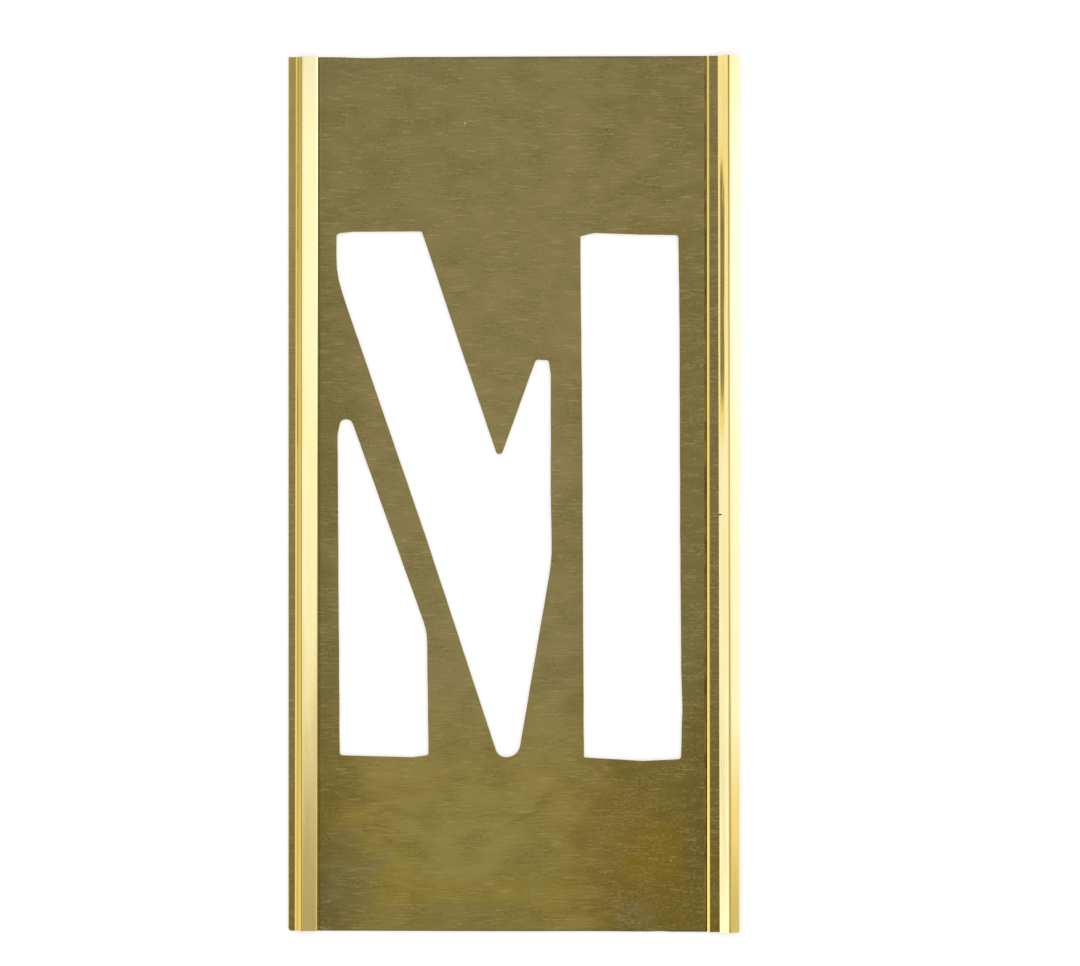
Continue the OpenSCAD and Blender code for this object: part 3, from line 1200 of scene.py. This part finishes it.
@dataclass
class BentStrip:
    """A strip of sheet bent along corners."""

    corners: Sequence[Corner]
    thickness: float
    # Points stand this far apart on the flats, and this many degrees apart in the bends
    flat_step: float = 0.3
    bend_step: float = 6.0
    bend_points: int = 3
    # A corner that turns less than this many radians is only where a finish changes, over this length
    least_turn: float = 0.01
    seam_step: float = 0.03
    # The painted shade on a bend keeps to its middle, the more the higher this is
    dull_focus: int = 4
    # Round of the strip's free edges, and the steps around each
    edge_round: float = 0.05
    edge_steps: int = 3

    def flat(self, at: int, start: Vector, stop: Vector, station: float) -> list[OutlinePoint]:
        """Walk along the flat stretch that ends at a corner.

        Args:
            at: Number of the corner.
            start: Place where the stretch starts.
            stop: Place where it stops.
            station: Way walked before it.

        Returns:
            Points along the stretch.
        """
        here, before = self.corners[at], self.corners[at - 1]
        length = (stop - start).length
        steps = max(1, math.ceil(length / self.flat_step))
        points = []
        for share in (k / steps for k in range(steps + 1)):
            place = start + (stop - start) * share
            give = before.give + (here.give - before.give) * share
            lean = before.lean + (here.lean - before.lean) * share
            walked = station + length * share
            points.append(OutlinePoint(place.x, place.y, before.wear_sheen, give, walked, before.deep, lean))
        return points

    def bend(self, at: int, centre: Vector, spoke: Vector, turn: float, station: float) -> list[OutlinePoint]:
        """Walk around the bend at a corner.

        Args:
            at: Number of the corner.
            centre: Middle of the bend.
            spoke: Way from there to where the bend starts.
            turn: Angle of the bend in radians.
            station: Way walked before it.

        Returns:
            Points inside the bend.
        """
        here, before = self.corners[at], self.corners[at - 1]
        count = max(self.bend_points, math.ceil(math.degrees(abs(turn)) / self.bend_step))
        points = []
        for share in (k / count for k in range(1, count)):
            turned = spoke.to_3d()
            turned.rotate(Euler((0.0, 0.0, turn * share)))
            place = centre + turned.to_2d()
            middling = math.sin(math.pi * share) ** self.dull_focus
            wear_sheen = before.wear_sheen.towards(here.wear_sheen, share).without(here.dull, middling)
            deep = before.deep + (here.deep - before.deep) * share
            walked = station + here.radius * abs(turn) * share
            points.append(OutlinePoint(place.x, place.y, wear_sheen, here.give, walked, deep, here.lean))
        return points

    def face(self, side: float) -> list[OutlinePoint]:
        """Walk along one face of the strip.

        Args:
            side: 1 for the face to the left of the way along, and -1 for the other.

        Returns:
            Points from the strip's start to its end.
        """
        d = side * self.thickness / 2
        line = [Vector((c.x, c.z)) for c in self.corners]
        points: list[OutlinePoint] = []
        station = 0.0
        leave = line[0]
        for i in range(1, len(line)):
            way = (line[i] - line[i - 1]).normalized()
            beside = Vector((-way.y, way.x))
            onward = (line[i + 1] - line[i]).normalized() if i < len(line) - 1 else way
            turn = math.atan2(way.x * onward.y - way.y * onward.x, way.dot(onward))
            radius = self.corners[i].radius
            arrive = line[i] - way * radius * math.tan(abs(turn) / 2)
            points += self.flat(i, leave + beside * d, arrive + beside * d, station)
            station += (arrive - leave).length
            if abs(turn) < self.least_turn:
                leave = line[i] + onward * self.seam_step
            else:
                bend = math.copysign(1.0, turn)
                centre = arrive + beside * bend * radius
                points += self.bend(i, centre, -beside * bend * (radius - bend * d), turn, station)
                station += radius * abs(turn)
                leave = line[i] + onward * radius * math.tan(abs(turn) / 2)
        return points

    def free_edge(self, end: int) -> Loop:
        """Round off the strip's edge, from the left face to the right one.

        Args:
            end: 0 for the edge at the strip's start, and -1 for the one at its end.

        Returns:
            Places along the round.
        """
        last = self.corners[end]
        inner = self.corners[1 if end == 0 else -2]
        out = Vector((last.x - inner.x, last.z - inner.z)).normalized()
        beside = Vector((out.y, -out.x)) if end == 0 else Vector((-out.y, out.x))
        tip = Vector((last.x, last.z)) - out * self.edge_round
        half = self.thickness / 2 - self.edge_round
        points: Loop = []
        turns = [math.radians(90 * k / self.edge_steps) for k in range(self.edge_steps + 1)]
        for side in (1, -1):
            for turn in turns[::side]:
                across = half + self.edge_round * math.cos(turn)
                place = tip + beside * side * across + out * self.edge_round * math.sin(turn)
                points.append((place.x, place.y))
        return points

    def outline(self) -> list[OutlinePoint]:
        """Close the outline: the left face, the edge at the end, the right face and the edge at the start.

        Returns:
            Points of the closed outline.
        """
        left, right = self.face(1.0), self.face(-1.0)
        ends = [replace(left[-1], x=x, z=z) for x, z in self.free_edge(-1)]
        starts = [replace(left[0], x=x, z=z) for x, z in self.free_edge(0)[::-1]]
        return left[:-1] + ends + right[-2:0:-1] + starts


@dataclass
class SlideRail:
    """What the two rails share: the sheet and the way along the plate."""

    ends: Ends = field(default_factory=Ends)
    strip_t: float = 0.2
    step: float = 0.8
    wander_length: float = 22.0
    wander_x: float = 0.0
    wander_z: float = 0.0
    seed: float = 0.0

    def strip_mesh(self, corners: Sequence[Corner], material: bpy.types.Material) -> bpy.types.Mesh:
        """Bend a strip along corners and sweep it along the plate.

        Args:
            corners: Corners of the strip's middle line.
            material: Its finish.

        Returns:
            The strip's mesh in place.
        """
        length = 2 * max(self.ends.left_reach, self.ends.right_reach)
        sweep = Sweep(length, self.step, self.wander_x, self.wander_z, self.wander_length, self.seed)
        return sweep.run(BentStrip(corners, self.strip_t).outline(), self.ends, material)


@dataclass
class HookRail(SlideRail):
    """Left rail: leg behind the plate, tight fold, flat nose, steep flank and lip, open to the right."""

    nose_w: float = 1.15
    flank_w: float = 0.77
    foot_w: float = 0.22
    foot_drop: float = 0.07
    rise: float = 0.61
    # Visible bends are rounder than the tight folds
    round_bend: float = 0.2
    tip_bend: float = 0.1
    crest_bend: float = 0.3
    # The nose tips up over this width before the steep flank, and a dark line follows it
    tip_w: float = 0.27
    tip_rise: float = 0.08
    dark_w: float = 0.24
    # The nose and the lip are a little narrower at the foot
    tip_lean: float = -0.15
    lip_lean: float = -0.1
    # The lip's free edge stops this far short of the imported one
    lip_short: float = 0.015
    # Wear of each stretch with painted light: the pale painted highlights, and how they change from top to
    # foot, follow how the lamps fall on each facet
    nose_wear_sheen: WearAndSheen = WearAndSheen(0.2, 0.1, 0.08)
    tip_wear_sheen: WearAndSheen = WearAndSheen(0.5, 0.75, 0.75)
    dark_wear_sheen: WearAndSheen = WearAndSheen(0.0, 0.36, 0.45)
    flank_wear_sheen: WearAndSheen = WearAndSheen(0.24, 0.5, 0.44)
    lip_wear_sheen: WearAndSheen = WearAndSheen(1.0, 0.88, 0.66)
    foot_wear_sheen: WearAndSheen = WearAndSheen(1.0, 0.85, 0.34)
    # Painted shade: a dark line drawn along the crest
    crest_shade: WearAndSheen = WearAndSheen(0.5, 0.5, 0.5)
    # Painted highlight: at the foot the lip's last bend is painted paler than what is beside it
    foot_highlight: WearAndSheen = WearAndSheen(0.0, 0.0, -0.5)
    # Painted shade: deep gold on the dark line after the nose's tip, and half as much on the steep flank
    dark_deep: float = 0.9
    flank_deep: float = 0.5
    wander_x: float = 0.03
    wander_z: float = -0.03
    seed: float = 3.0

    def corners(self) -> list[Corner]:
        """Work out the strip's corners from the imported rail.

        Returns:
            Corners from the leg's free edge to the lip's.
        """
        _, leg_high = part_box("left_rail_leg")
        nose_low, nose_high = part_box("left_rail_nose")
        lip_low, lip_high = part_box("left_rail_lip")
        mid = self.strip_t / 2
        left = nose_low.x / MM
        nose_z = nose_high.z / MM - mid
        fold = (nose_z - mid) / 2
        tip_x = left + self.nose_w
        tip_z = nose_z + self.tip_rise
        edge_x = lip_high.x / MM - self.lip_short
        edge_z = lip_low.z / MM + mid
        slope = (self.rise - self.tip_rise) / (self.flank_w - self.tip_w / 2)
        tip, dark = self.tip_wear_sheen, self.dark_wear_sheen
        lean = {"lean": self.tip_lean}
        lip_end = {"give": 1.0, "lean": self.lip_lean}
        return [
            Corner(leg_high.x / MM, mid, 0.0),
            Corner(left + mid, mid, fold, self.nose_wear_sheen),
            Corner(left + mid, nose_z, fold, self.nose_wear_sheen),
            Corner(tip_x - self.tip_w / 2, nose_z, self.round_bend, tip, give=0.2, **lean),
            Corner(tip_x + self.tip_w / 2, tip_z, self.tip_bend, dark, give=0.3, deep=self.dark_deep, **lean),
            Corner(
                tip_x + self.tip_w / 2 + self.dark_w,
                tip_z + slope * self.dark_w,
                0.0,
                self.flank_wear_sheen,
                give=0.5,
                deep=self.flank_deep,
            ),
            Corner(
                tip_x + self.flank_w,
                nose_z + self.rise,
                self.crest_bend,
                self.lip_wear_sheen,
                give=0.9,
                dull=self.crest_shade,
            ),
            Corner(
                edge_x - self.foot_w,
                edge_z + self.foot_drop,
                self.round_bend,
                self.foot_wear_sheen,
                dull=self.foot_highlight,
                **lip_end,
            ),
            Corner(edge_x, edge_z, 0.0, self.foot_wear_sheen, **lip_end),
        ]

    def build(self, material: bpy.types.Material) -> None:
        """Make the left rail and put it in place of its packed stretches."""
        nodes = ["left_rail_leg", "left_rail_nose", "left_rail_flank", "left_rail_lip"]
        new_piece("left_hook_rail", self.strip_mesh(self.corners(), material), nodes)


@dataclass
class GableRail(SlideRail):
    """Right rail: leg behind the plate, joggle, floor, hollow gable and hidden lip, open to the left."""

    joggle_start: float = 0.18
    joggle_w: float = 0.58
    floor_w: float = 1.36
    flank_w: float = 1.46
    crest_z: float = 2.0
    wall_h: float = 0.6
    tight_bend: float = 0.12
    round_bend: float = 0.16
    crest_bend: float = 0.36
    # Bends on the left of the gable stand further right at the foot
    joggle_lean: float = 0.1
    floor_lean: float = 0.3
    crest_lean: float = 0.18
    # Wear of each stretch with painted light: the pale painted highlights, and how they change from top to
    # foot, follow how the lamps fall on each facet
    joggle_wear_sheen: WearAndSheen = WearAndSheen(0.36, 0.53, 0.6)
    flank_wear_sheen: WearAndSheen = WearAndSheen(0.66, 0.85, 1.0)
    outer_wear_sheen: WearAndSheen = WearAndSheen(0.95, 1.7, 0.3)
    hidden_wear: WearAndSheen = WearAndSheen(0.3, 0.3, 0.3)
    # Painted shadow in the bend where the floor turns up into the flank
    floor_shade: WearAndSheen = WearAndSheen(0.4, 0.4, 0.4)
    # Painted shade: a dark line drawn along the crest
    crest_shade: WearAndSheen = WearAndSheen(0.75, 1.05, 0.42)
    wander_x: float = -0.05
    wander_z: float = -0.04
    seed: float = 11.0

    def corners(self) -> list[Corner]:
        """Work out the strip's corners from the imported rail.

        Returns:
            Corners from the leg's free edge to the hidden lip's.
        """
        leg_low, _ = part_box("right_rail_leg")
        _, floor_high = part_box("right_rail_floor")
        lip_low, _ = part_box("right_rail_under_lip")
        _, plate_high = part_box("stencil_plate")
        mid = self.strip_t / 2
        floor_z = floor_high.z / MM - mid
        lip_z = lip_low.z / MM + mid
        joggle_x = plate_high.x / MM + self.joggle_start
        floor_x = joggle_x + self.joggle_w
        flank_x = floor_x + self.floor_w
        crest_x = flank_x + self.flank_w
        wall_x = self.ends.right - mid
        joggle, flank, outer, hidden = self.joggle_wear_sheen, self.flank_wear_sheen, self.outer_wear_sheen, self.hidden_wear
        return [
            Corner(leg_low.x / MM, mid, 0.0),
            Corner(joggle_x, mid, self.tight_bend, joggle, lean=self.joggle_lean),
            Corner(floor_x, floor_z, self.tight_bend, WearAndSheen(), give=0.1, lean=self.joggle_lean),
            Corner(flank_x, floor_z, self.round_bend, flank, 0.3, self.floor_shade, lean=self.floor_lean),
            Corner(crest_x, self.crest_z, self.crest_bend, outer, 1.0, self.crest_shade, lean=self.crest_lean),
            Corner(wall_x, lip_z + self.wall_h, self.round_bend, outer, give=0.8),
            Corner(wall_x, lip_z, self.tight_bend, hidden, give=0.6),
            Corner(lip_low.x / MM, lip_z, 0.0, hidden, give=0.3),
        ]

    def build(self, material: bpy.types.Material) -> None:
        """Make the right rail and put it in place of its packed stretches."""
        stretches = ("leg", "joggle", "floor", "outer_wall", "under_lip")
        nodes = [f"right_rail_{stretch}" for stretch in stretches]
        nodes += ["right_gable_inner_flank", "right_gable_outer_flank"]
        new_piece("right_gable_rail", self.strip_mesh(self.corners(), material), nodes)


@dataclass
class SolderSeams:
    """Beads behind the plate along both legs, and the filled groove in front of the joggle."""

    ends: Ends = field(default_factory=Ends)
    finish: SolderFinish = SolderFinish()
    bead_steps: int = 5
    step: float = 0.6
    # The bead's face swells and shrinks by up to these, over this length
    swell_x: float = 0.05
    swell_z: float = -0.03
    swell_length: float = 2.5
    # Its places swell this much apart
    station_step: float = 0.3
    left_seed: float = 21.0
    right_seed: float = 27.0

    def bead(self, node: str, leg_on_left: bool) -> list[OutlinePoint]:
        """Draw a corner bead with a hollow face that fills a packed seam's place.

        Args:
            node: Packed seam.
            leg_on_left: Whether the strip's leg is on the bead's left side.

        Returns:
            The bead's outline.
        """
        low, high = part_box(node)
        leg_x, far_x = (low.x / MM, high.x / MM) if leg_on_left else (high.x / MM, low.x / MM)
        foot, top = low.z / MM, high.z / MM
        points = [OutlinePoint(leg_x, top)]
        for k in range(self.bead_steps + 1):
            turn = math.radians(90 * k / self.bead_steps)
            x = far_x + (leg_x - far_x) * math.cos(turn)
            z = foot + (top - foot) * math.sin(turn)
            points.append(OutlinePoint(x, z, give=math.sin(2 * turn), station=self.station_step * k))
        return points

    def build(self) -> None:
        """Sweep the two rear beads, and dress the front seam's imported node."""
        material = metal_material("aged_soft_solder", self.finish)
        length = 2 * self.ends.right_reach
        for side, way, seed in (("left", 1, self.left_seed), ("right", -1, self.right_seed)):
            node = f"{side}_solder_seam"
            sweep = Sweep(length, self.step, way * self.swell_x, self.swell_z, self.swell_length, seed)
            mesh = sweep.run(self.bead(node, way == 1), self.ends, material)
            new_piece(f"{side}_solder_bead", mesh, [node])
        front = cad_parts["right_front_seam"]
        front.data.materials.clear()
        front.data.materials.append(material)
        LOG.info("right_front_seam: dressed as packed")


@dataclass(frozen=True)
class Lamp:
    """A soft lamp that looks at the stencil's middle, with places and sizes in metres."""

    name: str
    place: tuple[float, float, float]
    size: Range
    watts: float


@dataclass
class Studio:
    """Pale floor, soft lamps, bright horizon and the camera straight above."""

    floor_colour: str = "#d2d2d1"
    # Light that only the lens and mirror-like metal see, so that the pale floor reads as white
    floor_glow: float = 0.45
    floor_half: float = 1.6
    # Distance from the plate's front face, from how much the ridges lean outwards in the photograph
    camera_height: float = 0.590
    # One pixel of the photograph at the plate, and the photograph's width
    pixel_mm: float = 0.14516
    photo_width: float = 1080.0
    # Middle of the photograph, from the middle of the stencil
    aim_mm: Range = (3.79, 1.58)
    sensor_mm: float = 36.0
    # Nearest and farthest that it sees, in metres
    sees: Range = (0.01, 10.0)
    # The room is bright at the walls and dark around the camera, where the flat brass looks
    wall_light: float = 1.1
    room_light: float = 0.92
    camera_side_light: float = 0.42
    # The light changes between these heights, from 0 at the horizon to 1 straight above
    above_walls: Range = (0.15, 0.45)
    around_camera: Range = (0.90, 0.97)
    lamps: tuple[Lamp, ...] = (
        Lamp("overhead_strip", (0.15, 0.065, 0.50), (0.20, 0.61), 0.265),
        Lamp("left_panel", (-0.50, -0.42, 0.18), (0.84, 0.34), 0.28),
        Lamp("right_panel", (0.50, 0.06, 0.16), (0.08, 0.30), 0.045),
    )

    def floor(self) -> None:
        """Lay the pale floor that the stencil rests on."""
        half = self.floor_half
        corners = [(-half, -half, 0), (half, -half, 0), (half, half, 0), (-half, half, 0)]
        mesh = bpy.data.meshes.new("studio_floor")
        mesh.from_pydata(corners, [], [(0, 1, 2, 3)])
        material = bpy.data.materials.new("matt_white_card")
        material.use_nodes = True
        tree = material.node_tree
        tree.nodes.clear()
        card = add_node(tree, "ShaderNodeBsdfDiffuse", {"Color": linear(self.floor_colour)})[0]
        rays = add_node(tree, "ShaderNodeLightPath")
        seen = rays["Is Camera Ray"]
        for ray in ("Is Glossy Ray", "Is Transmission Ray"):
            seen = add_node(tree, MATH, (seen, rays[ray]), operation="MAXIMUM")[0]
        strength = add_node(tree, MATH, (seen, self.floor_glow), operation="MULTIPLY")[0]
        glow = add_node(tree, "ShaderNodeEmission", {"Strength": strength})[0]
        lit = add_node(tree, "ShaderNodeAddShader", (card, glow))[0]
        add_node(tree, "ShaderNodeOutputMaterial", {"Surface": lit})
        mesh.materials.append(material)
        floor = bpy.data.objects.new("studio_floor", mesh)
        bpy.context.scene.collection.objects.link(floor)

    def world(self) -> None:
        """Light the stencil from a white room whose ceiling is dark around the camera."""
        world = bpy.data.worlds.new("studio_room")
        bpy.context.scene.world = world
        world.use_nodes = True
        tree = world.node_tree
        tree.nodes.clear()
        way = add_node(tree, "ShaderNodeTexCoord")["Generated"]
        height = add_node(tree, SPLIT, (way,))["Z"]
        walls = (height, *self.above_walls, self.wall_light - self.room_light, 0.0)
        ceiling = (height, *self.around_camera, self.room_light, self.camera_side_light)
        parts = [add_node(tree, RAMP, part, **SMOOTH)[0] for part in (walls, ceiling)]
        level = add_node(tree, MATH, parts, operation="ADD")[0]
        light = add_node(tree, "ShaderNodeBackground", {"Color": (1.0, 1.0, 1.0, 1.0), "Strength": level})[0]
        add_node(tree, "ShaderNodeOutputWorld", {"Surface": light})

    def lights(self) -> None:
        """Hang the soft lamps."""
        for lamp in self.lamps:
            data = bpy.data.lights.new(lamp.name, "AREA")
            data.shape = "RECTANGLE"
            data.size, data.size_y = lamp.size
            data.energy = lamp.watts
            light = bpy.data.objects.new(lamp.name, data)
            light.location = lamp.place
            light.rotation_euler = (-Vector(lamp.place)).to_track_quat("-Z", "Y").to_euler()
            light.visible_camera = False
            bpy.context.scene.collection.objects.link(light)

    def camera(self) -> None:
        """Set the camera straight above, as in the photograph."""
        data = bpy.data.cameras.new("photo_camera")
        data.sensor_width = self.sensor_mm
        data.lens = self.sensor_mm * self.camera_height / (self.photo_width * self.pixel_mm * MM)
        data.clip_start, data.clip_end = self.sees
        camera = bpy.data.objects.new("photo_camera", data)
        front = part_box("stencil_plate")[1].z
        camera.location = (self.aim_mm[0] * MM, self.aim_mm[1] * MM, front + self.camera_height)
        bpy.context.scene.collection.objects.link(camera)
        bpy.context.scene.camera = camera

    def build(self) -> None:
        """Set up the floor, the light and the camera."""
        bpy.context.scene.view_settings.view_transform = "Standard"
        self.camera()
        self.floor()
        self.world()
        self.lights()
        LOG.info("studio: floor, world, %d lamps and camera", len(self.lamps))


def main() -> None:
    """Build the studio and every piece of the stencil."""
    logging.basicConfig(level=logging.INFO, format="%(name)s: %(message)s")
    Studio().build()
    LetteredPlate().build()
    rail_metal = metal_material("rubbed_sheen_brass_strip", RubbedSheenFinish())
    HookRail().build(rail_metal)
    GableRail().build(rail_metal)
    SolderSeams().build()


if __name__ == "__main__":
    main()
